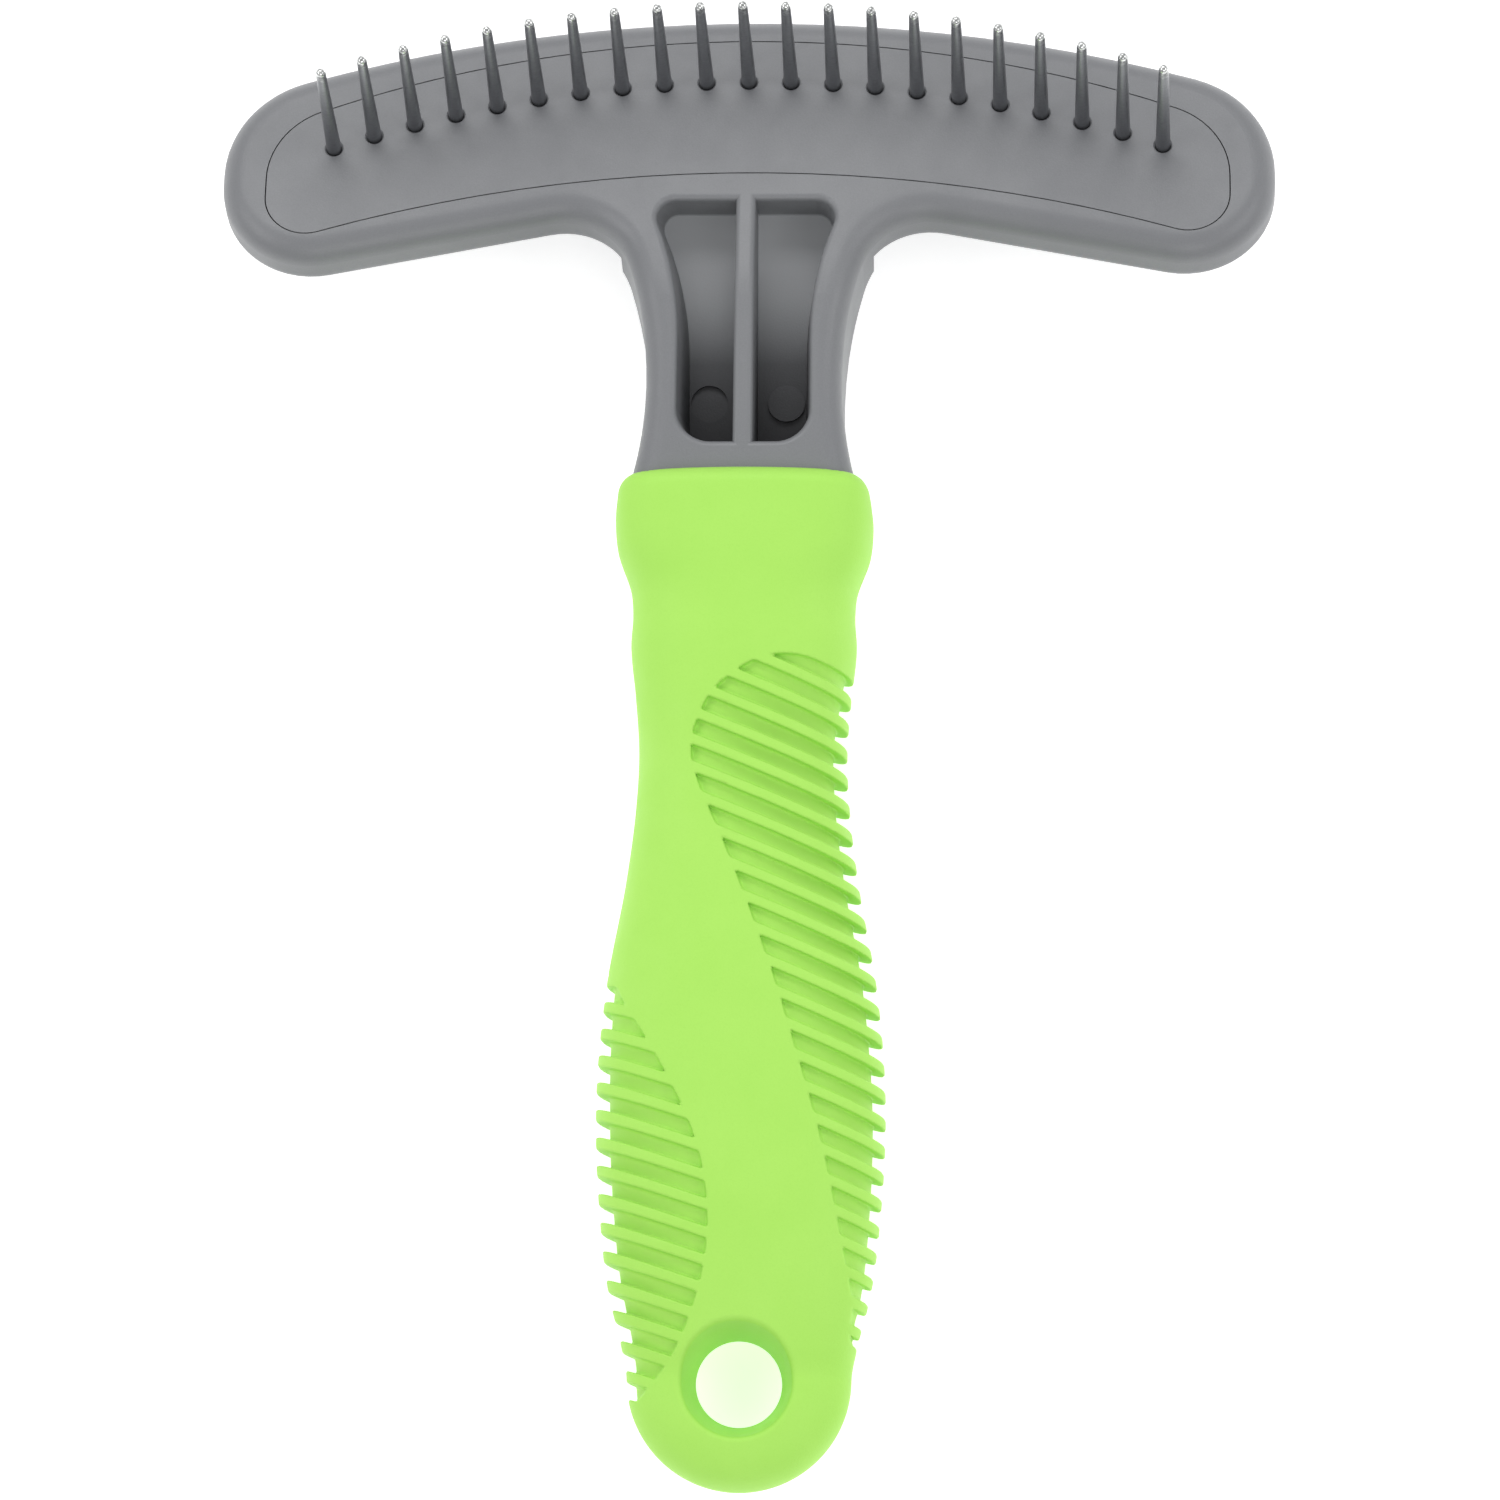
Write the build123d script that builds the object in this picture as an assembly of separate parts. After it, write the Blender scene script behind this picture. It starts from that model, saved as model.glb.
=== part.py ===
import os
from math import cos, hypot, pi, radians, sin

from build123d import *

# A deshedding rake for pets. It lies on its back with its pins up.
# Millimetres. X runs across the head, Y along the handle towards the head and Z up.
# The origin is the bottom centre of the whole tool.

# Face of the head: a plane tilted away from the handle, with u along X and v up the face
face_tilt = 18.0
face_y = 69.92
face_z = 13.0
head_thickness = 7.0
head_half_width = 64.0
head_top_v = 21.9
head_top_radius = 183.0
head_bottom_v = -6.1
head_bottom_slope = 11.6
head_bottom_u = 24.0
head_upper_corner = 13.5
head_lower_corner = 11.0
neck_fillet = 8.5
front_round = 3.0
back_round = 2.0

# Neck: its sides are hollow arcs, and its front and back lie between the face and the collar
neck_half_width = 11.8
neck_waist_v = -26.3
neck_side_radius = 46.0
neck_join_rise = 1.4
neck_front_bend_v = -15.0
neck_back_bend_v = 3.0
wing_low_v = -12.4
neck_bend_radius = 20.0
neck_front_z = 19.8
neck_back_z = 2.4
neck_end_y = 30.4
neck_back_half_width = 15.3
neck_edge_round = 3.0

# Pocket cored out of the neck, with a rib down its middle
pocket_top_y = 66.1
pocket_bottom_y = 35.0
pocket_half_width = 8.1
pocket_waist_y = 48.0
pocket_side_radius = 38.0
pocket_top_corner = 2.7
pocket_bottom_corner = 4.2
pocket_draft = 4.0
pocket_floor = 2.4
pocket_rim_round = 0.7
rib_width = 2.4
ejector_diameter = 4.5
ejector_x = 4.7
ejector_y = 42.2
ejector_step = 0.4

# Pin plate let into the face
plate_thickness = 3.0
plate_gap = 0.15
plate_half_width = 58.4
plate_top_v = 17.9
plate_top_radius = 143.7
plate_bottom_v = -0.6
plate_bottom_radius = 172.0
plate_upper_corner = 10.0
plate_lower_corner = 5.0

# Pins: a row on an arc, each turning in a hole of the plate, with a flange trapped behind it
pin_count = 21
pin_pitch = 5.15
pin_row_radius = 142.5
pin_row_v = 12.2
pin_length = 18.0
pin_diameter = 1.8
pin_tip_diameter = 1.2
pin_straight = 0.8
pin_flange_diameter = 3.3
pin_flange_thickness = 1.1
pin_clearance = 0.07
pin_end_play = 0.1
hole_chamfer = 0.2

# Grip: super-ellipse sections, each given as y, half width, half depth and power
handle_z = 11.0
grip_sections = (
    (31.8, 14.5, 9.8, 4.5),
    (30.0, 15.1, 10.1, 4.2),
    (26.4, 15.7, 10.5, 3.6),
    (17.0, 13.5, 9.9, 2.8),
    (0.0, 12.5, 9.6, 2.5),
    (-17.0, 13.9, 10.1, 2.5),
    (-30.0, 16.2, 10.8, 2.5),
    (-43.0, 17.3, 10.96, 2.5),
    (-57.0, 16.8, 10.5, 2.5),
    (-67.0, 15.5, 9.2, 2.5),
    (-73.0, 14.2, 7.9, 2.5),
)
section_points = 10
end_y = -76.5
end_half_width = 13.6
end_half_depth = 7.0
end_power = 2.5
hang_hole_y = -77.3
hang_hole_radius = 5.1
hang_hole_lip = 1.9
hang_hole_straight = 9.4

# Tang: the bar of the body that runs on inside the grip
tang_width = 17.0
tang_depth = 10.0
tang_end_y = -63.0
tang_corner = 3.0


face_plane = Plane(
    origin=(0, face_y, face_z),
    x_dir=(1, 0, 0),
    z_dir=(0, sin(radians(face_tilt)), cos(radians(face_tilt))),
)


def face_point(v, depth):
    """Y and Z of a point on the middle line, v up the face and depth below it."""
    point = face_plane.from_local_coords(Vector(0, v, -depth))
    return point.Y, point.Z


# Where the back of the neck runs into the back of the head
neck_back_top = face_point(neck_back_bend_v, head_thickness)


def prism(half, front, back, corners):
    """Extrude a right-hand half outline between two heights, round its corners and mirror it."""
    body = extrude(Plane.XY.offset(-back) * half, amount=back + front)
    for (u, v), radius in corners:
        edge = min(
            body.edges().filter_by(Axis.Z),
            key=lambda e: hypot(e.center().X - u, e.center().Y - v),
        )
        body = fillet(edge, radius)
    return body + mirror(body, about=Plane.YZ)


def arc_height(x, top, radius):
    """Height at x of an arc that crosses the middle line at top, curving down on both sides."""
    return top - radius + (radius**2 - x**2) ** 0.5


def head_prism(front, back):
    """The T-shaped block that the body is cut from, in the face plane."""
    end_v = arc_height(head_half_width, head_top_v, head_top_radius)
    slope = radians(head_bottom_slope)
    low_v = head_bottom_v - (head_half_width - head_bottom_u) * sin(slope) / cos(slope)
    waist = neck_half_width + neck_side_radius
    # The hollow arc of the neck meets the lower edge of the head at this height
    join_v = head_bottom_v + neck_join_rise
    join_u = waist - (neck_side_radius**2 - (join_v - neck_waist_v) ** 2) ** 0.5
    foot_v = 2 * neck_waist_v - join_v
    top_mid_u = head_half_width / 2
    top_mid = (top_mid_u, arc_height(top_mid_u, head_top_v, head_top_radius))
    outline = [
        Line((0, foot_v), (join_u, foot_v)),
        ThreePointArc((join_u, foot_v), (neck_half_width, neck_waist_v), (join_u, join_v)),
        Line((join_u, join_v), (head_half_width, low_v)),
        Line((head_half_width, low_v), (head_half_width, end_v)),
        ThreePointArc((head_half_width, end_v), top_mid, (0, head_top_v)),
        Line((0, head_top_v), (0, foot_v)),
    ]
    corners = (
        ((join_u, join_v), neck_fillet),
        ((head_half_width, low_v), head_lower_corner),
        ((head_half_width, end_v), head_upper_corner),
    )
    return prism(make_face(outline), front, back, corners)


def plate_prism(gap, front, back):
    """A block with the outline of the pin plate grown by a gap, in the face plane."""
    end = plate_half_width + gap
    crown_v = plate_top_v + gap
    sole_v = plate_bottom_v - gap
    crown_radius = plate_top_radius + gap
    sole_radius = plate_bottom_radius - gap
    top_v = arc_height(end, crown_v, crown_radius)
    low_v = arc_height(end, sole_v, sole_radius)
    middle = end / 2
    outline = [
        Line((0, sole_v), (0, crown_v)),
        ThreePointArc(
            (0, crown_v),
            (middle, arc_height(middle, crown_v, crown_radius)),
            (end, top_v),
        ),
        Line((end, top_v), (end, low_v)),
        ThreePointArc(
            (end, low_v),
            (middle, arc_height(middle, sole_v, sole_radius)),
            (0, sole_v),
        ),
    ]
    corners = (
        ((end, top_v), plate_upper_corner + gap),
        ((end, low_v), plate_lower_corner + gap),
    )
    return prism(make_face(outline), front, back, corners)


def block_from_side(outline, half_width):
    """A block with a given side view in Y and Z, reaching the same distance to both sides."""
    return extrude(Plane.YZ * outline, amount=half_width, both=True)


def neck_side():
    """The side view of the neck: its front follows the face and its back is a ramp."""
    top_v = head_top_v + 5
    bend = face_point(neck_front_bend_v, 0)
    corners = [
        (neck_end_y, neck_front_z),
        bend,
        face_point(top_v, 0),
        face_point(top_v, 0.5 * head_thickness),
        neck_back_top,
        (neck_end_y, neck_back_z),
    ]
    outline = make_face(Polyline(*corners, close=True))
    corner = min(outline.vertices(), key=lambda vertex: hypot(vertex.X - bend[0], vertex.Y - bend[1]))
    return fillet(corner, neck_bend_radius)


def plane_along_x(low, high):
    """The plane that runs along X through two points of the side view."""
    return Plane(origin=(0, *low), x_dir=(1, 0, 0), z_dir=(0, low[1] - high[1], high[0] - low[0]))


def edges_in_plane(body, plane):
    """The edges of a body that lie in a plane, without those that run straight across it."""
    found = []
    for edge in body.edges():
        points = [plane.to_local_coords(edge @ step) for step in (0, 0.5, 1)]
        level = all(abs(point.Z) < 0.01 for point in points)
        across = abs(points[0].Y - points[2].Y) < 0.01 and abs(points[0].X + points[2].X) < 0.01
        if level and not (across and edge.geom_type == GeomType.LINE):
            found.append(edge)
    return found


def make_body():
    """The head and the neck as one solid, with rounded edges."""
    block = face_plane * head_prism(10, 30)
    height = head_top_v + 5 - wing_low_v
    slab_face = Rectangle(3 * head_half_width, height, align=(Align.CENTER, Align.MIN))
    slab = extrude(Pos(0, wing_low_v, -head_thickness) * slab_face, amount=head_thickness)
    wings = block & (face_plane * slab)
    wings = fillet(edges_in_plane(wings, face_plane.offset(-head_thickness)), back_round)
    beyond_collar = Pos(0, neck_end_y, 0) * Box(60, 100, 60, align=(Align.CENTER, Align.MIN, Align.CENTER))
    neck = block & block_from_side(neck_side(), neck_back_half_width) & beyond_collar
    neck_back = plane_along_x((neck_end_y, neck_back_z), neck_back_top)
    neck = fillet(edges_in_plane(neck, neck_back), neck_edge_round)
    body = wings + neck
    neck_front = plane_along_x((neck_end_y, neck_front_z), face_point(neck_front_bend_v, 0))
    front_edges = edges_in_plane(body, face_plane) + edges_in_plane(body, neck_front)
    return fillet(front_edges, front_round)


def pocket_mouth():
    """The mouth of the pocket in the neck, as a flat block at the height of the collar."""
    waist = pocket_half_width + pocket_side_radius
    rise = pocket_top_y - pocket_waist_y
    top_x = waist - (pocket_side_radius**2 - rise**2) ** 0.5
    mid_x = waist - (pocket_side_radius**2 - (0.5 * rise) ** 2) ** 0.5
    outline = [
        Line((0, pocket_bottom_y), (pocket_half_width, pocket_bottom_y)),
        Line((pocket_half_width, pocket_bottom_y), (pocket_half_width, pocket_waist_y)),
        ThreePointArc(
            (pocket_half_width, pocket_waist_y),
            (mid_x, pocket_waist_y + 0.5 * rise),
            (top_x, pocket_top_y),
        ),
        Line((top_x, pocket_top_y), (0, pocket_top_y)),
        Line((0, pocket_top_y), (0, pocket_bottom_y)),
    ]
    corners = (
        ((top_x, pocket_top_y), pocket_top_corner),
        ((pocket_half_width, pocket_bottom_y), pocket_bottom_corner),
    )
    return Pos(0, 0, neck_front_z) * prism(make_face(outline), 1, 0, corners)


def make_pocket():
    """The space of the pocket: it narrows as it goes down, and the rib stands in its middle."""
    mouth = pocket_mouth()
    top = mouth.faces().sort_by(Axis.Z)[0]
    shaft = extrude(top, amount=neck_front_z - neck_back_z, dir=(0, 0, -1), taper=pocket_draft)
    floor_low = (neck_end_y, neck_back_z + pocket_floor)
    floor_high = (neck_back_top[0], neck_back_top[1] + pocket_floor)
    above = make_face(Polyline(floor_low, floor_high, (floor_high[0], 30), (floor_low[0], 30), close=True))
    shaft = shaft & block_from_side(above, head_half_width)
    rib = Pos(0, 0.5 * (pocket_top_y + pocket_bottom_y), handle_z) * Box(rib_width, 60, 60)
    return shaft - rib


def pocket_rim(body):
    """The edges round the mouth of the pocket and along the top of its rib."""
    rim = []
    for edge in body.edges():
        box = edge.bounding_box()
        along = box.min.Y > pocket_bottom_y - 1 and box.max.Y < pocket_top_y + 1
        across = max(-box.min.X, box.max.X) < neck_half_width + 1
        if along and across and box.min.Z > face_z:
            rim.append(edge)
    return rim


def make_tang():
    """The bar that runs on from the neck inside the grip."""
    length = neck_end_y - tang_end_y
    bar = Box(tang_width, length, tang_depth, align=(Align.CENTER, Align.MIN, Align.CENTER))
    bar = fillet(bar.edges().filter_by(Axis.Z).group_by(Axis.Y)[0], tang_corner)
    return Pos(0, tang_end_y, handle_z) * bar


def make_head_frame():
    """The whole grey body: head, neck and tang in one piece."""
    plate_recess = face_plane * plate_prism(plate_gap, 5, plate_thickness)
    body = make_body() - make_pocket()
    body = fillet(pocket_rim(body), pocket_rim_round) - plate_recess
    rise = (neck_back_top[1] - neck_back_z) / (neck_back_top[0] - neck_end_y)
    floor_z = neck_back_z + pocket_floor + rise * (ejector_y - neck_end_y)
    disc = Cylinder(0.5 * ejector_diameter, 2 * ejector_step)
    body = body + Pos(ejector_x, ejector_y, floor_z) * disc
    body = body - Pos(-ejector_x, ejector_y, floor_z) * disc
    return body + make_tang()


def pin_places():
    """The foot of each pin in the face plane, evenly spaced along the arc."""
    step = pin_pitch / pin_row_radius
    for number in range(pin_count):
        turn = (number - (pin_count - 1) / 2) * step
        yield pin_row_radius * sin(turn), pin_row_v - pin_row_radius * (1 - cos(turn))


def make_pin():
    """One pin, standing on its foot at the face, with its flange below."""
    radius = 0.5 * pin_diameter
    tip = 0.5 * pin_tip_diameter
    flange = 0.5 * pin_flange_diameter
    flange_low = pin_end_play - plate_thickness
    flange_high = flange_low + pin_flange_thickness
    half = make_face([
        Polyline(
            (0, pin_length),
            (0, flange_low),
            (flange, flange_low),
            (flange, flange_high),
            (radius, flange_high),
            (radius, pin_straight),
            (tip, pin_length - tip),
        ),
        ThreePointArc(
            (tip, pin_length - tip),
            (tip * sin(pi / 4), pin_length - tip + tip * cos(pi / 4)),
            (0, pin_length),
        ),
    ])
    return revolve(Plane.XZ * half, Axis.Z)


def make_pin_hole():
    """The space round one pin in the plate: a hole, its chamfer and the seat of the flange."""
    hole = 0.5 * pin_diameter + pin_clearance
    seat = 0.5 * pin_flange_diameter + pin_clearance
    seat_high = 2 * pin_end_play + pin_flange_thickness - plate_thickness
    half = make_face(Polyline(
        (0, 1),
        (0, -plate_thickness - 1),
        (seat, -plate_thickness - 1),
        (seat, seat_high),
        (hole, seat_high),
        (hole, -hole_chamfer),
        (hole + hole_chamfer, 0),
        (hole + hole_chamfer, 1),
        close=True,
    ))
    return revolve(Plane.XZ * half, Axis.Z)


def make_pin_plate():
    """The plate with its row of holes."""
    plate = plate_prism(0, 0, plate_thickness)
    hole = make_pin_hole()
    for u, v in pin_places():
        plate = plate - Pos(u, v, 0) * hole
    return face_plane * plate


def half_section(half_width, half_depth, power):
    """The right-hand half of a super-ellipse, from its top to its bottom."""
    points = [(0, half_depth)]
    for number in range(1, section_points):
        turn = pi * number / section_points
        x = half_width * sin(turn) ** (2 / power)
        z = half_depth * abs(cos(turn)) ** (2 / power)
        points.append((x, z if 2 * number < section_points else -z))
    points.append((0, -half_depth))
    return Spline(*points, tangents=((1, 0), (-1, 0)))


def full_section(y, half_width, half_depth, power):
    """A closed super-ellipse across the handle."""
    right = half_section(half_width, half_depth, power)
    left = mirror(right, about=Plane.YZ)
    return Pos(0, y, handle_z) * (Plane.XZ * make_face([right, left]))


def make_hang_hole():
    """The space of the hanging hole, with rounded lips on both sides."""
    straight = 0.5 * hang_hole_straight
    outer = hang_hole_radius + hang_hole_lip
    lip_z = straight + hang_hole_lip
    lip_arc = RadiusArc((hang_hole_radius, straight), (outer, lip_z), hang_hole_lip)
    upper = make_face([
        Polyline((0, 0), (hang_hole_radius, 0), (hang_hole_radius, straight)),
        lip_arc,
        Polyline((outer, lip_z), (outer, lip_z + 5), (0, lip_z + 5), (0, 0)),
    ])
    space = revolve(Plane.XZ * upper, Axis.Z)
    space = space + mirror(space, about=Plane.XY)
    return Pos(0, hang_hole_y, handle_z) * space


def make_grip(head_frame):
    """The soft cover of the tang: a loft down to the hanging hole and a turned end round it."""
    end_station = (end_y, end_half_width, end_half_depth, end_power)
    handle = loft([full_section(*station) for station in (*grip_sections, end_station)])
    right = half_section(*end_station[1:])
    end_face = make_face([right, Line(right @ 1, right @ 0)])
    end = Pos(0, end_y, handle_z) * revolve(Plane.XZ * end_face, Axis.Z, -180)
    return handle + end - make_hang_hole() - head_frame


nodes = {}
nodes["head_frame"] = make_head_frame()
nodes["pin_plate"] = make_pin_plate()
nodes["grip"] = make_grip(nodes["head_frame"])
for number, (u, v) in enumerate(pin_places(), start=1):
    nodes[f"pin_{number:02d}"] = face_plane * Pos(u, v, 0) * make_pin()

os.makedirs("parts", exist_ok=True)
for name, solid in nodes.items():
    solid.label = name
    export_step(solid, f"parts/{name}.step")
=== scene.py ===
"""Looks of a deshedding rake: moulded plastic head, steel pins and a ribbed soft grip."""
from math import cos, radians, sin

import bmesh
import bpy
import numpy as np
from mathutils import Matrix, Vector


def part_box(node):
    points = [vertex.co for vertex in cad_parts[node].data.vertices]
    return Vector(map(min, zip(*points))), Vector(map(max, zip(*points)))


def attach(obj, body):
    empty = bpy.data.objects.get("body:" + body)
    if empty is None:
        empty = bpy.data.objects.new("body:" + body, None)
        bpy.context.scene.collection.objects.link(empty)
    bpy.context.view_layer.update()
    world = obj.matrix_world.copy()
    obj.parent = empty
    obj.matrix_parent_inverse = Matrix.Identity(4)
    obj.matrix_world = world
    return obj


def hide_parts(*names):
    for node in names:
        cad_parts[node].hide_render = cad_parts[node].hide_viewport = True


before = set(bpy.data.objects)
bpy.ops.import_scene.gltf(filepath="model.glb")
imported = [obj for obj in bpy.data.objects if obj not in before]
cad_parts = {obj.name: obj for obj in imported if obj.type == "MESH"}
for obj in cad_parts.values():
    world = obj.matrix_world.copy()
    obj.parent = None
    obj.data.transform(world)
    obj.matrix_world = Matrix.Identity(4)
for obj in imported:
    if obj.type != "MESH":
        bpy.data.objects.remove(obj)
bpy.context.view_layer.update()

MM = 0.001

# Camera: high above the handle, leaning towards its end and a little to its right
CAMERA_AIM = Vector((0.00083, -0.001305, 0.012))
CAMERA_DISTANCE = 0.9
CAMERA_LEAN = radians(8.5)
CAMERA_SIDE = radians(2.8)
CAMERA_AT = CAMERA_AIM + CAMERA_DISTANCE * Vector((
    sin(CAMERA_SIDE) * cos(CAMERA_LEAN),
    -sin(CAMERA_LEAN),
    cos(CAMERA_SIDE) * cos(CAMERA_LEAN),
))
CAMERA_ROLL = radians(0.4)
CAMERA_LENS = 180.0

# Grip, in mm with z measured from the handle's axis
HANDLE_Z = 11.0
GRIP_TOP = 31.8
GRIP_TOP_RADIUS = 200.0
GRIP_LIP = 2.0
# y, half width, half depth and power of each super-ellipse section
GRIP_SECTIONS = (
    (34.0, 14.9, 10.6, 5.0),
    (31.8, 15.0, 10.6, 5.0),
    (29.8, 15.1, 10.7, 4.8),
    (26.4, 15.45, 10.6, 4.0),
    (22.7, 15.2, 10.4, 3.4),
    (17.3, 13.5, 10.0, 2.8),
    (14.8, 13.35, 9.9, 2.7),
    (11.6, 13.55, 9.9, 2.7),
    (5.0, 12.95, 9.7, 2.6),
    (-1.5, 12.5, 9.6, 2.5),
    (-9.0, 12.85, 9.8, 2.5),
    (-17.0, 13.85, 10.1, 2.5),
    (-30.0, 16.15, 10.8, 2.5),
    (-43.0, 17.25, 10.96, 2.5),
    (-57.0, 16.75, 10.5, 2.5),
    (-67.0, 15.5, 9.2, 2.5),
    (-73.0, 14.0, 7.9, 2.5),
    (-76.75, 13.35, 7.0, 2.5),
    (-77.75, 13.35, 7.0, 2.5),
)
# The sections end here and a turned end follows; the row beyond it only levels the curve
END_Y = -76.75
HOLE_Y = -77.3
HOLE_RADIUS = 5.1
HOLE_FLARE = 0.24
HOLE_LIP = 0.6
HOLE_SURROUND = 2.4

# Sockets for the end of the neck and for the tang: half width, half depth, corner radius, end
NECK_SOCKET = (13.2, 8.7, 3.0, 30.4)
TANG_SOCKET = (8.5, 5.0, 3.0, -63.0)

# Ribbed zones: outline of each in plan, slope of its ribs, pitch, and height of one groove's top
RIGHT_ZONE = (
    (30.0, 0.0), (20.0, 4.2), (14.5, 6.4), (11.0, 7.9), (6.2, 9.1), (1.6, 8.3), (-3.0, 5.0),
    (-5.2, 1.0), (-5.8, -2.6), (-4.9, -6.3), (-1.0, -15.5), (3.4, -27.1), (6.9, -38.2),
    (10.0, -49.2), (12.2, -60.1), (13.6, -67.5), (14.6, -73.5), (30.0, -73.5),
)
LEFT_ZONE = (
    (-30.0, -20.0), (-17.2, -27.5), (-13.4, -32.9), (-8.5, -41.1), (-4.9, -49.0), (-3.5, -56.2),
    (-3.7, -62.6), (-5.2, -68.6), (-7.7, -74.3), (-12.2, -79.8), (-18.0, -84.0), (-30.0, -84.0),
)
RIGHT_RIBS = (0.41, 3.27, -0.81)
LEFT_RIBS = (0.34, 3.30, -55.3)
GROOVE_WIDTH = 1.9
GROOVE_DEPTH = 1.7
SHALLOW_DEPTH = 1.05
DEEPENING = 0.08
RIB_EDGE = 0.24
GROOVE_CORNER = 0.35
GROOVE_END_CORNER = 0.2

# The grid that the grip's mesh is taken from, in mm
CELL = 0.3
GRID_X = np.arange(-17.7, 17.8, CELL)
GRID_Z = np.arange(-11.6, 11.7, CELL)
GRID_LOW_Y = -91.0
GRID_ROOM = 0.8
GRIP_TRIANGLES = 192000
CURVE_STEPS = 40

# Colours of the head and the grip
PLASTIC = (0.192, 0.197, 0.208)
RUBBER = (0.402, 0.775, 0.118)

# Tilt of the head's face, height of the pins' tips square to it, and slope of the neck's back
FACE_TILT = radians(18.0)
_, PIN_TIP_Y, PIN_TIP_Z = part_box("pin_11")[1]
PIN_TIP = PIN_TIP_Y * sin(FACE_TILT) + PIN_TIP_Z * cos(FACE_TILT)
NECK_BACK_RISE = 0.0749

# Pocket of the neck, in m, with painted shade low in it and a painted sheen high on its floor: each
# pair of limits says where a mask is 0 and where it is 1
POCKET_SIDE = (0.0086, 0.0079)
POCKET_WIDENING = (0.048, 0.066, 0.0045)
POCKET_BACK = (0.0011, 0.0021)
# Painted shade: the pocket turns darker towards its low end
PAINTED_SHADE_HEIGHT = (0.0165, 0.0070)
PAINTED_SHADE_END = (0.055, 0.038)
# Painted sheen: the pocket's upper floor is lighter
PAINTED_SHEEN_HEIGHT = (0.0034, 0.0028)
PAINTED_SHEEN_START = (0.047, 0.059)
PAINTED_SHEEN_END = (0.0675, 0.0665)

# Soft lights: name, place, aim, size in m and power in W
LIGHTS = (
    ("top_softbox", (-0.15, 1.0, 0.95), (0.0, 0.03, 0.01), (1.0, 0.6), 6.7),
    ("low_softbox", (0.2, -0.85, 1.0), (0.0, 0.0, 0.01), (0.8, 0.5), 3.4),
    ("left_softbox", (-1.0, 0.1, 0.85), (0.0, 0.03, 0.01), (0.5, 0.9), 3.8),
    ("right_softbox", (1.0, 0.1, 0.85), (0.0, 0.03, 0.01), (0.5, 0.9), 3.8),
)
WORLD_STRENGTH = 0.5
FLOOR_GLOW = 0.52


def hermite(stations):
    """A smooth curve through rows of (position, values...), sampled finely for interpolation."""
    rows = np.array(stations)
    rows = rows[np.argsort(rows[:, 0])]
    at, values = rows[:, 0], rows[:, 1:]
    slopes = np.gradient(values, at, axis=0)
    steps = np.linspace(0.0, 1.0, CURVE_STEPS, endpoint=False)[:, None]
    places, curve = [], []
    for left in range(len(at) - 1):
        gap = at[left + 1] - at[left]
        t = steps
        curve.append(
            (2 * t**3 - 3 * t**2 + 1) * values[left]
            + (t**3 - 2 * t**2 + t) * gap * slopes[left]
            + (3 * t**2 - 2 * t**3) * values[left + 1]
            + (t**3 - t**2) * gap * slopes[left + 1]
        )
        places.append(at[left] + gap * t[:, 0])
    return np.append(np.concatenate(places), at[-1]), np.vstack([*curve, values[-1]])


def round_max(a, b, radius):
    """The overlap of two solids given by their distances, with a rounded edge."""
    corner = np.hypot(np.maximum(a + radius, 0.0), np.maximum(b + radius, 0.0))
    return np.minimum(np.maximum(a, b), -radius) + corner


def smooth_outline(corners):
    """A zone's outline, as a fine smooth curve through its points."""
    points = np.array(corners)
    along = np.arange(len(points), dtype=float)
    _, curve = hermite(np.column_stack([along, points]))
    return curve[::8]


def zone_distance(outline, x, y):
    """Distance in plan to a closed outline, negative inside."""
    nearest = np.full(x.shape, 1e9)
    inside = np.zeros(x.shape, dtype=bool)
    for (ax, ay), (bx, by) in zip(outline, np.roll(outline, -1, axis=0)):
        ex, ey = bx - ax, by - ay
        length = ex * ex + ey * ey
        if length == 0.0:
            continue
        t = np.clip(((x - ax) * ex + (y - ay) * ey) / length, 0.0, 1.0)
        nearest = np.minimum(nearest, (x - ax - t * ex) ** 2 + (y - ay - t * ey) ** 2)
        crosses = (ay > y) != (by > y)
        if ey != 0.0:
            inside ^= crosses & (x < ax + (y - ay) * ex / ey)
    return np.where(inside, -1.0, 1.0) * np.sqrt(nearest)


def distance_map(corners):
    """A zone's distance in plan, worked out once on a fine grid."""
    x, y = np.meshgrid(MAP_X, MAP_Y, indexing="ij")
    return zone_distance(smooth_outline(corners), x, y)


def looked_up(table, x, y):
    """The map's value between its grid points."""
    i = np.clip((x - MAP_X[0]) / MAP_STEP, 0, len(MAP_X) - 1.001)
    j = np.clip((y - MAP_Y[0]) / MAP_STEP, 0, len(MAP_Y) - 1.001)
    left, low = i.astype(int), j.astype(int)
    i, j = i - left, j - low
    lower = table[left, low] * (1 - i) + table[left + 1, low] * i
    upper = table[left, low + 1] * (1 - i) + table[left + 1, low + 1] * i
    return lower * (1 - j) + upper * j


MAP_STEP = 0.15
MAP_X = np.arange(-18.3, 18.4, MAP_STEP)
MAP_Y = np.arange(-92.0, 34.0, MAP_STEP)
section_y, section_values = hermite(GRIP_SECTIONS)
zones = [(distance_map(RIGHT_ZONE), *RIGHT_RIBS), (distance_map(LEFT_ZONE), *LEFT_RIBS)]


def smooth_body(x, y, z):
    """Distance to the grip before its grooves and hole are cut."""
    half_width, half_depth, power = (
        np.interp(np.maximum(y, END_Y), section_y, column) for column in section_values.T
    )
    across = np.where(y < END_Y, np.hypot(x, y - END_Y), np.abs(x))
    a = np.maximum(across / half_width, 1e-4)
    b = np.maximum(np.abs(z) / half_depth, 1e-4)
    size = (a**power + b**power) ** (1 / power)
    rate = np.hypot(a ** (power - 1) / half_width, b ** (power - 1) / half_depth)
    slope = size ** (1 - power) * rate
    body = (size - 1) / slope
    top = y + 0.5 * x**2 / GRIP_TOP_RADIUS - GRIP_TOP
    return round_max(body, top, GRIP_LIP)


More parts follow.
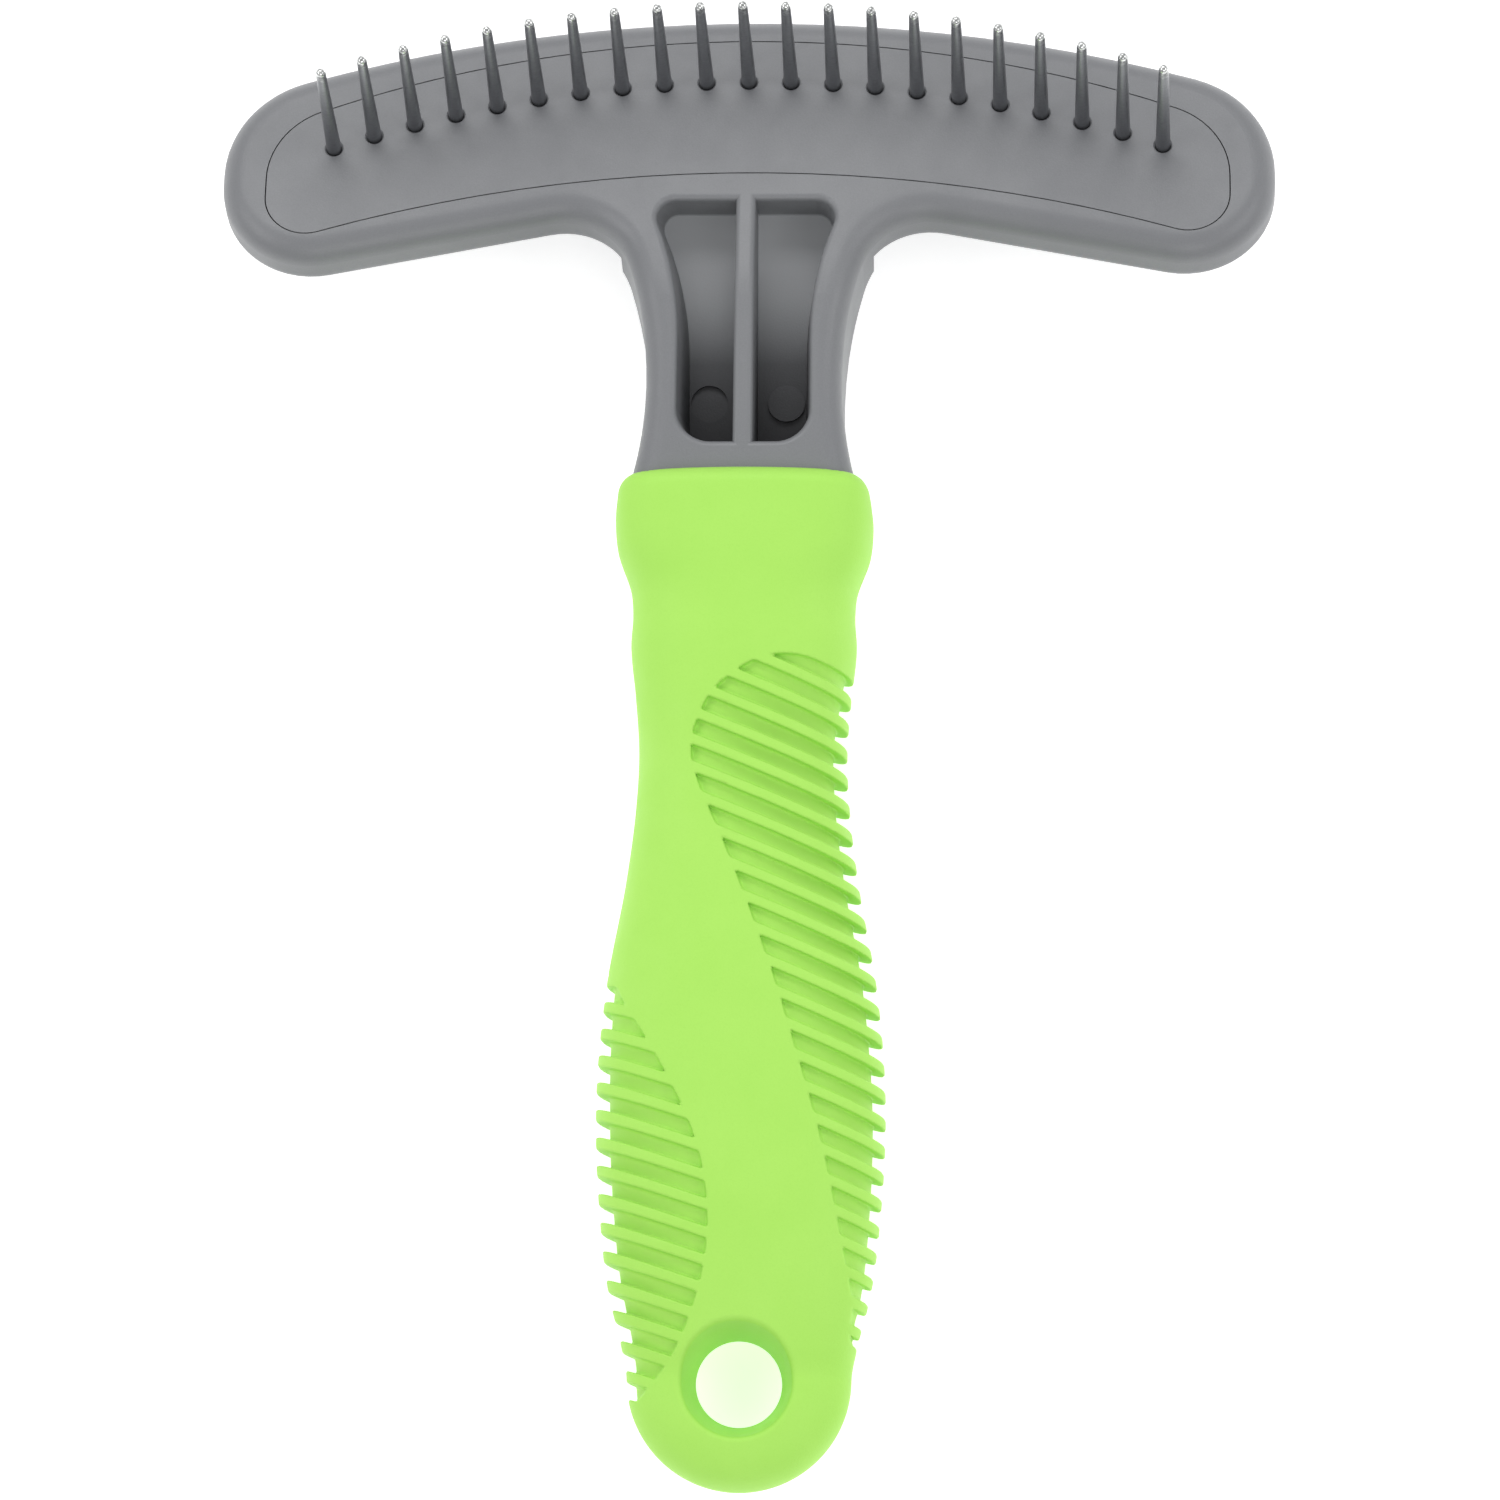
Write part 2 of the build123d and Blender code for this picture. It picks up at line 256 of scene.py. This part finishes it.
def grooves(x, y):
    """Distance to the grooves in plan, negative inside one, and how deep they are there."""
    found = np.full(x.shape, 1e9)
    inward = np.zeros(x.shape)
    for table, slope, pitch, top in zones:
        zone = looked_up(table, x, y)
        middle = y + slope * x - top + 0.5 * GROOVE_WIDTH
        off = np.abs((middle + 0.5 * pitch) % pitch - 0.5 * pitch)
        slot = (off - 0.5 * GROOVE_WIDTH) / np.hypot(1.0, slope)
        found = np.minimum(found, round_max(slot, zone, GROOVE_END_CORNER))
        inward = np.maximum(inward, -zone)
    return found, np.minimum(SHALLOW_DEPTH + DEEPENING * inward, GROOVE_DEPTH)


def socket(x, y, z, half_width, half_depth, corner, end):
    """Distance to a rounded bar that runs up from its end, negative inside it."""
    a = np.abs(x) - half_width + corner
    b = np.abs(z) - half_depth + corner
    bar = np.hypot(np.maximum(a, 0), np.maximum(b, 0)) + np.minimum(np.maximum(a, b), 0) - corner
    return np.maximum(bar, end - y)


def grip_distance(x, y, z, groove=None):
    """Distance to the whole grip, negative inside the rubber."""
    body = smooth_body(x, y, z)
    if groove is None:
        groove = grooves(x, y)
    plan, depth = groove
    cut = round_max(plan, -body - depth, GROOVE_CORNER)
    solid = round_max(body, -cut, RIB_EDGE)
    hole = HOLE_RADIUS + HOLE_FLARE * np.abs(z) - np.hypot(x, y - HOLE_Y)
    hole = hole / np.hypot(1, HOLE_FLARE)
    solid = round_max(solid, hole, HOLE_LIP)
    solid = np.maximum(solid, -socket(x, y, z, *NECK_SOCKET))
    return np.maximum(solid, -socket(x, y, z, *TANG_SOCKET))


def shear(x):
    """How far a row of grid cells drops, so that rows run along the ribs."""
    return np.where(x > 0, RIGHT_RIBS[0], LEFT_RIBS[0]) * x


def surface_nets(value):
    """Vertices in grid steps and quads of the surface where value crosses zero."""
    inside = value < 0
    shape = value.shape
    rings, places = [], []
    for axis in range(3):
        low = tuple(slice(0, -1) if a == axis else slice(None) for a in range(3))
        high = tuple(slice(1, None) if a == axis else slice(None) for a in range(3))
        at = np.argwhere(inside[low] != inside[high])
        step = np.eye(3, dtype=int)[axis]
        near = value[tuple(at.T)]
        far = value[tuple((at + step).T)]
        place = at + (near / (near - far))[:, None] * step
        u, v = np.eye(3, dtype=int)[[(axis + 1) % 3, (axis + 2) % 3]]
        ring = [np.ravel_multi_index((at - shift).T, shape) for shift in (0 * u, u, u + v, v)]
        ring = np.stack(ring, axis=1)
        leaving = inside[tuple(at.T)]
        ring[~leaving] = ring[~leaving][:, ::-1]
        rings.append(ring)
        places.append(place)
    ring, place = np.concatenate(rings), np.concatenate(places)
    cells, index = np.unique(ring, return_inverse=True)
    index = index.reshape(ring.shape)
    count = np.bincount(index.ravel(), minlength=len(cells))
    sums = [np.bincount(index.ravel(), np.repeat(place[:, a], 4), len(cells)) for a in range(3)]
    corners = np.stack([total / count for total in sums], axis=1)
    return corners, index


def gradient(points, step=0.01):
    """The distance at each point, and the direction in which it grows, with its rate."""
    x, y, z = points.T
    here = grip_distance(x, y, z)
    ahead = (
        grip_distance(x + step, y, z), grip_distance(x, y + step, z), grip_distance(x, y, z + step)
    )
    return here, np.stack([(value - here) / step for value in ahead], axis=1)


def onto_surface(points):
    """Points moved along the gradient onto the surface, no further than half a cell at a time."""
    here, rate = gradient(points)
    move = here[:, None] * rate / np.maximum((rate**2).sum(1), 0.05)[:, None]
    length = np.linalg.norm(move, axis=1)[:, None]
    return points - move * np.minimum(1.0, 0.5 * CELL / np.maximum(length, 1e-9))


def evened(points, quads):
    """Points moved along the surface towards the middle of their neighbours."""
    ends = np.concatenate([quads[:, [a, (a + 1) % 4]] for a in range(4)])
    count = np.bincount(ends[:, 0], minlength=len(points))
    count += np.bincount(ends[:, 1], minlength=len(points))
    total = np.zeros_like(points)
    for a in range(3):
        total[:, a] = np.bincount(ends[:, 0], points[ends[:, 1], a], len(points))
        total[:, a] += np.bincount(ends[:, 1], points[ends[:, 0], a], len(points))
    offset = total / count[:, None] - points
    _, normal = gradient(points)
    normal /= np.maximum(np.linalg.norm(normal, axis=1), 1e-9)[:, None]
    offset -= (offset * normal).sum(1)[:, None] * normal
    return points + 0.5 * offset


def make_grip():
    """Points and quads of the grip's surface, in mm."""
    pitch = RIGHT_RIBS[1]
    row = pitch / round(pitch / CELL)
    drop = shear(GRID_X)
    rows = np.arange(GRID_LOW_Y + drop.min(), GRIP_TOP + GRID_ROOM + drop.max(), row)
    value = np.empty((len(GRID_X), len(rows), len(GRID_Z)), dtype=np.float32)
    for i, (at, fall) in enumerate(zip(GRID_X, drop)):
        y = (rows - fall)[:, None]
        x = np.full_like(y, at)
        value[i] = grip_distance(x, y, GRID_Z[None, :], grooves(x, y))
    corners, quads = surface_nets(value)
    points = np.empty_like(corners)
    points[:, 0] = GRID_X[0] + CELL * corners[:, 0]
    points[:, 1] = rows[0] + row * corners[:, 1] - shear(points[:, 0])
    points[:, 2] = GRID_Z[0] + CELL * corners[:, 2]
    for _ in range(2):
        points = evened(onto_surface(points), quads)
    for _ in range(3):
        points = onto_surface(points)
    return points, quads


def grip_object():
    """The grip's mesh in metres, thinned, with its own normals and its depth in the grooves."""
    points, quads = make_grip()
    dense = bpy.data.meshes.new("grip_dense")
    dense.from_pydata((points + (0, 0, HANDLE_Z)).tolist(), [], quads.tolist())
    holder = bpy.data.objects.new("grip_dense", dense)
    bpy.context.scene.collection.objects.link(holder)
    holder.modifiers.new("thin", "DECIMATE").ratio = GRIP_TRIANGLES / (2 * len(quads))
    graph = bpy.context.evaluated_depsgraph_get()
    mesh = bpy.data.meshes.new_from_object(holder.evaluated_get(graph))
    bpy.data.objects.remove(holder)
    mesh.name = "grip_cover"
    mesh.polygons.foreach_set("use_smooth", [True] * len(mesh.polygons))
    places = np.empty(3 * len(mesh.vertices))
    mesh.vertices.foreach_get("co", places)
    places = places.reshape(-1, 3) - (0, 0, HANDLE_Z)
    _, normal = gradient(places)
    normal /= np.linalg.norm(normal, axis=1)[:, None]
    # Depth below the smooth body, which the rubber uses for painted light in the grooves; none near
    # the hole
    depth = np.clip(-smooth_body(*places.T) / GROOVE_DEPTH, 0.0, 1.0)
    at_hole = np.hypot(places[:, 0], places[:, 1] - HOLE_Y) < HOLE_RADIUS + HOLE_SURROUND
    depth[at_hole] = 0.0
    mesh.attributes.new("groove", "FLOAT", "POINT").data.foreach_set("value", depth)
    mesh.transform(Matrix.Scale(MM, 4))
    mesh.normals_split_custom_set_from_vertices(normal.tolist())
    cover = bpy.data.objects.new("grip_cover", mesh)
    bpy.context.scene.collection.objects.link(cover)
    return cover


class Nodes:
    """A new material and short ways to add nodes to it."""

    def __init__(self, name):
        self.material = bpy.data.materials.new(name)
        self.material.use_nodes = True
        self.tree = self.material.node_tree
        self.shader = self.tree.nodes["Principled BSDF"]
        self.place = self.add("ShaderNodeTexCoord").outputs["Object"]

    def add(self, kind, **settings):
        node = self.tree.nodes.new(kind)
        for name, value in settings.items():
            setattr(node, name, value)
        return node

    def link(self, source, target):
        self.tree.links.new(source, target)

    def noise(self, scale, detail=3.0, roughness=0.5, stretch=None):
        """Noise in the CAD frame; scale is in features per metre."""
        node = self.add("ShaderNodeTexNoise")
        node.inputs["Scale"].default_value = scale
        node.inputs["Detail"].default_value = detail
        node.inputs["Roughness"].default_value = roughness
        place = self.place
        if stretch:
            mapping = self.add("ShaderNodeMapping")
            mapping.inputs["Scale"].default_value = stretch
            self.link(place, mapping.inputs["Vector"])
            place = mapping.outputs["Vector"]
        self.link(place, node.inputs["Vector"])
        return node.outputs["Fac"]

    def mask(self, value, limits):
        """0 on one side of a pair of limits and 1 on the other, with a ramp between them."""
        return self.remap(value, *limits, 0.0, 1.0)

    def math(self, operation, *values):
        """A sum, product or the like of outputs and numbers."""
        node = self.add("ShaderNodeMath", operation=operation)
        for place, value in zip(node.inputs, values):
            if isinstance(value, float):
                place.default_value = value
            else:
                self.link(value, place)
        return node.outputs["Value"]

    def remap(self, value, low, high, to_low, to_high):
        """A value between low and high brought to between two others, and held there outside."""
        node = self.add("ShaderNodeMapRange")
        for name, number in (
            ("From Min", low), ("From Max", high), ("To Min", to_low), ("To Max", to_high)
        ):
            node.inputs[name].default_value = number
        self.link(value, node.inputs["Value"])
        return node.outputs["Result"]

    def mix(self, factor, first, second):
        """A colour between two, which are colours or outputs."""
        node = self.add("ShaderNodeMix", data_type="RGBA")
        self.link(factor, node.inputs["Factor"])
        for name, colour in (("A", first), ("B", second)):
            socket_in = next(s for s in node.inputs if s.name == name and s.type == "RGBA")
            if isinstance(colour, tuple):
                socket_in.default_value = (*colour, 1.0)
            else:
                self.link(colour, socket_in)
        return next(s for s in node.outputs if s.type == "RGBA")

    def bump(self, height, distance, strength, before=None):
        """A normal that follows a height, on top of the one before it."""
        node = self.add("ShaderNodeBump")
        node.inputs["Distance"].default_value = distance
        node.inputs["Strength"].default_value = strength
        self.link(height, node.inputs["Height"])
        if before:
            self.link(before, node.inputs["Normal"])
        return node.outputs["Normal"]

    def finish(self, colour, roughness, normal, **constants):
        """The material, with its outputs joined up and its constant sockets set."""
        self.link(colour, self.shader.inputs["Base Color"])
        self.link(roughness, self.shader.inputs["Roughness"])
        self.link(normal, self.shader.inputs["Normal"])
        for name, value in constants.items():
            self.shader.inputs[name.replace("_", " ")].default_value = value
        return self.material


def pocket_painted_shade_and_sheen(nodes):
    """How much painted shade darkens the low end of the neck's pocket and how much painted sheen
    lightens its high end, from 0 to 1.
    """
    parts = nodes.add("ShaderNodeSeparateXYZ")
    nodes.link(nodes.place, parts.inputs["Vector"])
    x, y, z = (parts.outputs[axis] for axis in "XYZ")
    above_back = nodes.math("SUBTRACT", z, nodes.math("MULTIPLY", y, NECK_BACK_RISE))
    low_y, high_y, widening = POCKET_WIDENING
    flare = nodes.remap(y, low_y, high_y, 0.0, widening)
    inside = nodes.mask(nodes.math("SUBTRACT", nodes.math("ABSOLUTE", x), flare), POCKET_SIDE)
    inside = nodes.math("MULTIPLY", inside, nodes.mask(above_back, POCKET_BACK))
    # Painted shade, darker towards the pocket's low end
    painted_shade = nodes.math("MULTIPLY", nodes.mask(z, PAINTED_SHADE_HEIGHT), nodes.mask(y, PAINTED_SHADE_END))
    # Painted sheen, lighter on the pocket's upper floor
    painted_sheen = nodes.math("MULTIPLY", nodes.mask(above_back, PAINTED_SHEEN_HEIGHT), nodes.mask(y, PAINTED_SHEEN_START))
    painted_sheen = nodes.math("MULTIPLY", painted_sheen, nodes.mask(y, PAINTED_SHEEN_END))
    return nodes.math("MULTIPLY", inside, painted_shade), nodes.math("MULTIPLY", inside, painted_sheen)


def moulded_plastic(name, shade):
    """Grey plastic with a fine sparked texture, faint flow marks, painted shade low in the neck's
    pocket and a painted sheen high in it.
    """
    nodes = Nodes(name)
    red, green, blue = (part * shade for part in PLASTIC)
    flow = nodes.noise(38.0, 4.0, 0.55, (1.0, 0.35, 0.6))
    colour = nodes.mix(
        nodes.remap(flow, 0.3, 0.7, 0.0, 1.0),
        (red * 0.95, green * 0.95, blue * 0.955),
        (red * 1.05, green * 1.05, blue * 1.045),
    )
    speck = nodes.remap(nodes.noise(5200.0, 2.0), 0.35, 0.75, 0.0, 0.25)
    colour = nodes.mix(speck, colour, (red * 0.72, green * 0.72, blue * 0.72))
    painted_shade, painted_sheen = pocket_painted_shade_and_sheen(nodes)
    # Painted shade: the low end of the neck's pocket is darkened
    colour = nodes.mix(painted_shade, colour, (red * 0.26, green * 0.26, blue * 0.27))
    # Painted sheen: the pocket's upper floor is lightened
    colour = nodes.mix(painted_sheen, colour, (red * 2.4, green * 2.4, blue * 2.35))
    roughness = nodes.remap(nodes.noise(160.0, 5.0, 0.6), 0.3, 0.7, 0.36, 0.47)
    grain = nodes.bump(nodes.noise(3600.0, 3.0, 0.6), 0.00006, 0.35)
    waves = nodes.bump(nodes.noise(120.0, 2.0), 0.0003, 0.08, grain)
    return nodes.finish(colour, roughness, waves, Specular_IOR_Level=0.45)


def soft_rubber():
    """Soft-touch rubber: a fine matt grain, slight mottling, and painted light that makes the
    grooves lighter and yellower.
    """
    nodes = Nodes("soft_rubber")
    red, green, blue = RUBBER
    mottle = nodes.remap(nodes.noise(90.0, 5.0, 0.6), 0.3, 0.7, 0.0, 1.0)
    colour = nodes.mix(
        mottle, (red * 0.97, green * 0.985, blue * 0.95), (red * 1.02, green * 1.008, blue * 1.04)
    )
    speck = nodes.remap(nodes.noise(4200.0, 2.0), 0.5, 0.8, 0.0, 0.22)
    colour = nodes.mix(speck, colour, (red * 0.8, green * 0.9, blue * 0.7))
    groove = nodes.add("ShaderNodeAttribute", attribute_name="groove").outputs["Fac"]
    # Painted light: the grooves turn lighter and yellower with their depth
    painted_groove_light = (red * 1.2, green * 1.04, blue * 1.3)
    colour = nodes.mix(nodes.remap(groove, 0.15, 1.0, 0.0, 1.0), colour, painted_groove_light)
    roughness = nodes.remap(nodes.noise(240.0, 4.0, 0.6), 0.3, 0.7, 0.52, 0.66)
    grain = nodes.bump(nodes.noise(3000.0, 4.0, 0.65), 0.00008, 0.4)
    dents = nodes.bump(nodes.noise(260.0, 2.0), 0.0002, 0.1, grain)
    return nodes.finish(colour, roughness, dents, Specular_IOR_Level=0.35)


def pin_steel():
    """Dark satin steel with fine turning lines, painted lighter towards the tip, and a worn,
    polished tip whose brightness is partly a painted highlight.
    """
    nodes = Nodes("pin_steel")
    reach = nodes.add("ShaderNodeVectorMath", operation="DOT_PRODUCT")
    reach.inputs[1].default_value = (0.0, sin(FACE_TILT), cos(FACE_TILT))
    nodes.link(nodes.place, reach.inputs[0])
    height = reach.outputs["Value"]
    ragged = nodes.remap(nodes.noise(1500.0, 4.0, 0.6), 0.3, 0.7, -0.0004, 0.0004)
    worn_and_highlit_height = nodes.math("ADD", height, ragged)
    tip = PIN_TIP
    # Painted light: the shaft is lighter towards the tip
    painted_light_up_pin = nodes.remap(height, tip - 0.017, tip - 0.002, 0.0, 1.0)
    shaft = nodes.mix(painted_light_up_pin, (0.30, 0.306, 0.322), (0.44, 0.45, 0.465))
    lines = nodes.remap(nodes.noise(1400.0, 4.0, 0.7, (1.0, 1.0, 3.0)), 0.35, 0.7, 0.0, 0.35)
    shaft = nodes.mix(lines, shaft, (0.17, 0.174, 0.183))
    patches = nodes.remap(nodes.noise(2600.0, 3.0), 0.4, 0.6, 0.0, 1.0)
    # The tip: partly real polish, with lower roughness, and partly a painted highlight in its
    # bright colour
    polished_tip_and_highlight = nodes.mix(patches, (0.42, 0.43, 0.43), (0.78, 0.79, 0.78))
    colour = nodes.mix(nodes.remap(worn_and_highlit_height, tip - 0.0021, tip - 0.0010, 0.0, 1.0), shaft, polished_tip_and_highlight)
    roughness = nodes.remap(worn_and_highlit_height, tip - 0.0025, tip - 0.0005, 0.36, 0.26)
    scratch = nodes.bump(nodes.noise(2600.0, 4.0, 0.65, (1.0, 1.0, 4.0)), 0.00002, 0.3)
    return nodes.finish(colour, roughness, scratch, Metallic=1.0)


def paper_floor():
    """Pale paper with a barely visible tooth."""
    nodes = Nodes("paper")
    colour = nodes.mix(nodes.noise(60.0), (0.93, 0.93, 0.93), (0.95, 0.95, 0.95))
    roughness = nodes.remap(nodes.noise(40.0), 0.3, 0.7, 0.85, 0.95)
    tooth = nodes.bump(nodes.noise(900.0), 0.0001, 0.1)
    return nodes.finish(
        colour,
        roughness,
        tooth,
        Specular_IOR_Level=0.1,
        Emission_Color=(1.0, 1.0, 1.0, 1.0),
        Emission_Strength=FLOOR_GLOW,
    )


def put_on(piece, material):
    """The material in every slot of an object."""
    if not piece.material_slots:
        piece.data.materials.append(material)
    for place in piece.material_slots:
        place.material = material


def area_light(name, place, aim, size, power):
    """A rectangular soft light that faces its aim."""
    data = bpy.data.lights.new(name, "AREA")
    data.shape = "RECTANGLE"
    data.size, data.size_y = size
    data.energy = power
    lamp = bpy.data.objects.new(name, data)
    lamp.matrix_world = looking(Vector(place), Vector(aim))
    bpy.context.scene.collection.objects.link(lamp)


def looking(place, aim, roll=0.0):
    """The place of something that looks at aim with +Y up in its picture."""
    back = (place - aim).normalized()
    right = Vector((0, 1, 0)).cross(back).normalized()
    up = back.cross(right)
    turned = cos(roll) * right + sin(roll) * up, cos(roll) * up - sin(roll) * right
    return Matrix.Translation(place) @ Matrix((*turned, back)).transposed().to_4x4()


grip = grip_object()
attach(grip, "frame")
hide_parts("grip")
put_on(grip, soft_rubber())
put_on(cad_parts["head_frame"], moulded_plastic("frame_plastic", 1.0))
put_on(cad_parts["pin_plate"], moulded_plastic("plate_plastic", 0.98))
steel = pin_steel()
for name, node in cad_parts.items():
    if name.startswith("pin_") and name != "pin_plate":
        put_on(node, steel)

floor_mesh = bmesh.new()
bmesh.ops.create_grid(floor_mesh, x_segments=8, y_segments=8, size=3.0)
floor_data = bpy.data.meshes.new("floor")
floor_mesh.to_mesh(floor_data)
floor = bpy.data.objects.new("floor", floor_data)
bpy.context.scene.collection.objects.link(floor)
put_on(floor, paper_floor())

world = bpy.data.worlds.new("studio")
world.use_nodes = True
world.node_tree.nodes["Background"].inputs["Color"].default_value = (1.0, 1.0, 1.0, 1.0)
world.node_tree.nodes["Background"].inputs["Strength"].default_value = WORLD_STRENGTH
scene = bpy.context.scene
scene.world = world
for light in LIGHTS:
    area_light(*light)

camera_data = bpy.data.cameras.new("camera")
camera_data.lens = CAMERA_LENS
camera_data.sensor_width = 36.0
camera_data.clip_start = 0.01
camera = bpy.data.objects.new("camera", camera_data)
camera.matrix_world = looking(CAMERA_AT, CAMERA_AIM, CAMERA_ROLL)
scene.collection.objects.link(camera)
scene.camera = camera
scene.view_settings.view_transform = "Standard"
